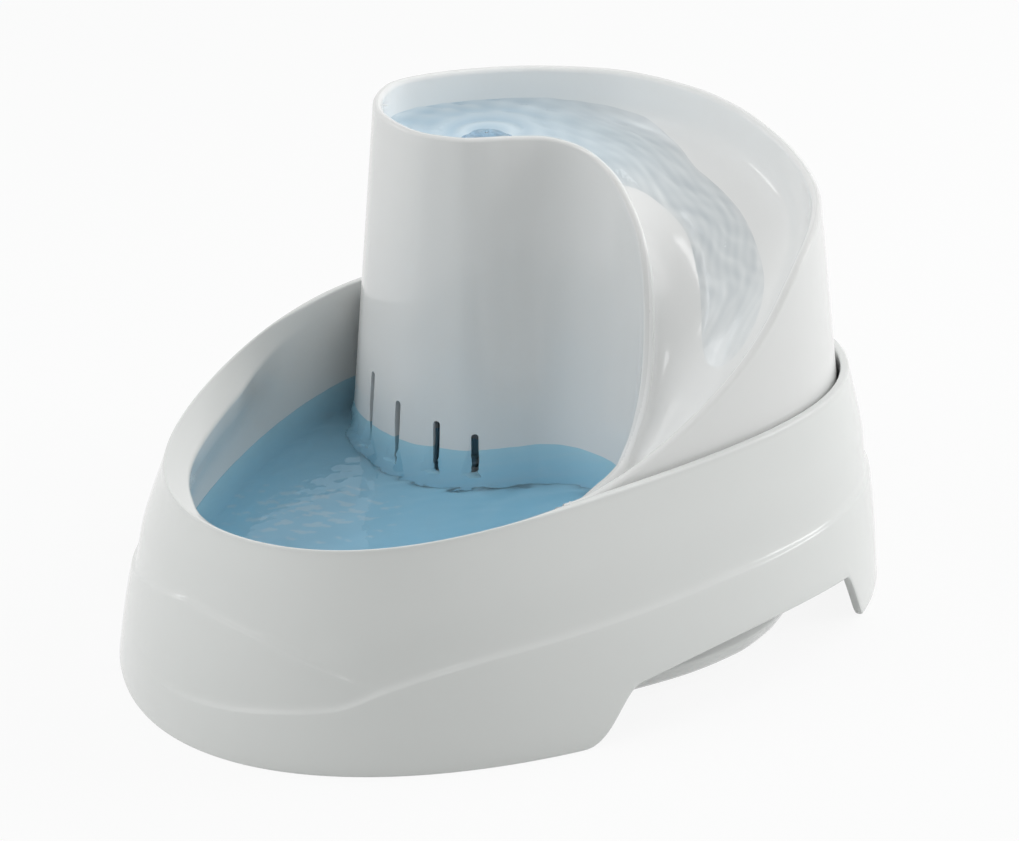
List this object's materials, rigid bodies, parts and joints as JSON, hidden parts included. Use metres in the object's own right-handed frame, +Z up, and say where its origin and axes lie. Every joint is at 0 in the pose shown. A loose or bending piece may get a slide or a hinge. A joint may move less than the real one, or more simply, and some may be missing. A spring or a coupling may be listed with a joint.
{
  "type": "pet water fountain",
  "caption": "Oval drinking bowl on a flared skirt, with a lift-off tower whose top dish spills down a curved, banked chute into the open pool; pump and filter inside.",
  "frame": {"origin": "centre of the skirt outline on the floor", "axes": "+Z up, -Y towards the open pool, +Y towards the tower at the rear, +X to the right when facing +Y"},
  "size_m": [0.2515, 0.32, 0.165],
  "materials": {
    "shell": "gloss white",
    "pump_housing": "satin black",
    "grey_rubber": "matt",
    "clear_rubber": "milky, satin",
    "filter_plastic": "satin",
    "impeller_plastic": "satin",
    "foam": "open-cell foam",
    "carbon": "carbon-loaded felt",
    "ferrite": "sintered magnet, matt",
    "ceramic_shaft": "ground",
    "core_steel": "laminated",
    "winding_copper": "enamelled copper wire"
  },
  "bodies": {
    "base": {"base_bowl": "shell", "riser_tube": "clear_rubber", "riser_seal": "grey_rubber", "pump_body": "pump_housing", "pump_back_plate": "pump_housing", "cord_gland": "grey_rubber", "stator_core": "core_steel", "stator_winding": "winding_copper", "pump_volute": "pump_housing", "chamber_seal": "grey_rubber", "intake_grille": "pump_housing", "impeller_shaft": "ceramic_shaft", "shaft_bush_front": "grey_rubber", "shaft_bush_rear": "grey_rubber", "suction_cup_1": "clear_rubber", "suction_cup_2": "clear_rubber", "suction_cup_3": "clear_rubber", "suction_cup_4": "clear_rubber", "filter_frame": "filter_plastic", "filter_front_grille": "filter_plastic", "filter_foam": "foam", "filter_carbon": "carbon"},
    "tower": {"tower_casing": "shell", "dish_and_chute": "shell", "nozzle_collar": "shell"},
    "rotor": {"impeller": "impeller_plastic", "impeller_magnet": "ferrite"},
    "dial": {"flow_dial": "impeller_plastic"}
  },
  "joints": [
    {"name": "tower_lift", "type": "slide", "parent": "base", "child": "tower", "axis": [0, 0, 1], "range_m": [0, 0.17]},
    {"name": "impeller_spin", "type": "hinge", "parent": "base", "child": "rotor", "pos_m": [-0.046, 0.07, 0.037], "axis": [0, 1, 0], "continuous": true},
    {"name": "flow_dial_turn", "type": "hinge", "parent": "base", "child": "dial", "pos_m": [-0.046, 0.051, 0.037], "axis": [0, 1, 0], "range_deg": [0, 60]}
  ]
}
